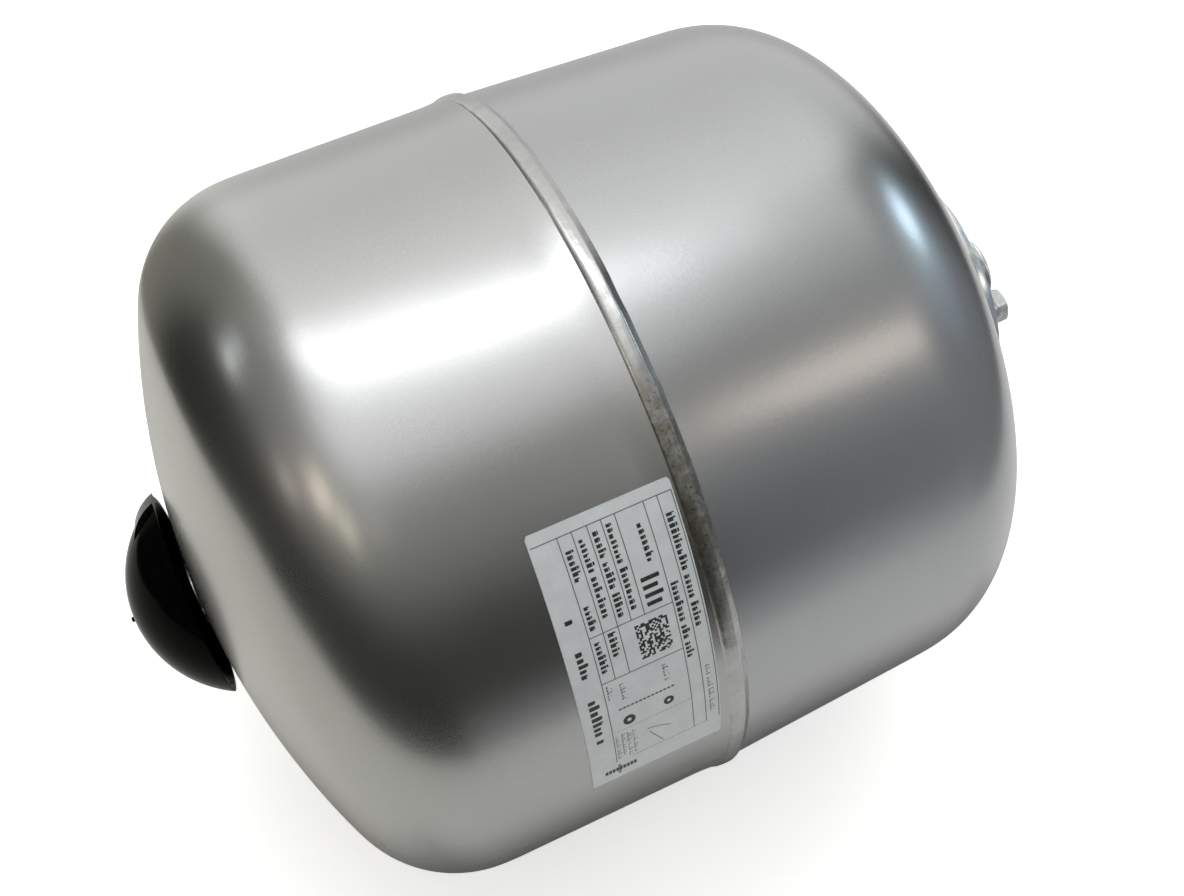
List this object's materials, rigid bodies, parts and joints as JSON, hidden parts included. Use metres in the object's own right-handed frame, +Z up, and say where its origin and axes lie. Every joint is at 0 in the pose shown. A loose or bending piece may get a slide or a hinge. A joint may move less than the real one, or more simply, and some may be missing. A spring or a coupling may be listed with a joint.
{
  "type": "expansion vessel",
  "caption": "Cylindrical steel expansion vessel with domed ends, a lap-welded seam, a bolted plate with a male water connection, and an air valve under a push-on dome cover.",
  "frame": {"origin": "centre of the water connection's sealing end face", "axes": "+X along the vessel's axis and out of the water connection, +Z up, with the vessel lying on its side; the rating label faces -Y and up"},
  "size_m": [0.2996, 0.227, 0.227],
  "materials": {
    "shell_paint": "silver metallic paint, semi-gloss, light orange peel",
    "weld_paint": "silver metallic paint over a rippled weld",
    "zinc_plate": "bright zinc plating",
    "bolt_steel": "zinc-plated fasteners",
    "valve_brass": "turned",
    "spring_steel": "drawn wire",
    "bag_rubber": "moulded, dull",
    "seal_rubber": "moulded, dull",
    "cap_plastic": "moulded, knurled",
    "cover_plastic": "high gloss",
    "label_paper": null
  },
  "bodies": {
    "vessel": {"shell_air_side": "shell_paint", "shell_water_side": "shell_paint", "weld_bead": "weld_paint", "neck_collar": "shell_paint", "neck_weld": "weld_paint", "bladder": "bag_rubber", "cover_plate": "zinc_plate", "connection_nipple": "zinc_plate", "nipple_weld": "zinc_plate", "cover_washers": "bolt_steel", "cover_bolts": "bolt_steel", "valve_gasket": "seal_rubber", "valve_stem": "valve_brass", "valve_washer": "bolt_steel", "valve_nut": "valve_brass", "valve_core_barrel": "valve_brass", "valve_core_seal": "seal_rubber", "valve_core_spring": "spring_steel", "rating_label": "label_paper"},
    "cover": {"valve_cover": "cover_plastic"},
    "dust_cap": {"dust_cap": "cap_plastic", "dust_cap_seal": "seal_rubber"},
    "core_pin": {"valve_core_pin": "valve_brass", "valve_core_cup": "seal_rubber"}
  },
  "joints": [
    {"name": "cover_pull", "type": "slide", "parent": "vessel", "child": "cover", "axis": [-1, 0, 0], "range_m": [0, 0.06]},
    {"name": "dust_cap_lift", "type": "slide", "parent": "vessel", "child": "dust_cap", "axis": [-1, 0, 0], "range_m": [0, 0.024]},
    {"name": "pin_press", "type": "slide", "parent": "vessel", "child": "core_pin", "axis": [1, 0, 0], "range_m": [0, 0.0015], "stiffness_N_per_m": 100, "deforming": ["valve_core_spring"]}
  ],
  "couplings": [
    {"joint": "dust_cap_lift", "follows": "cover_pull", "ratio": 0.4}
  ]
}
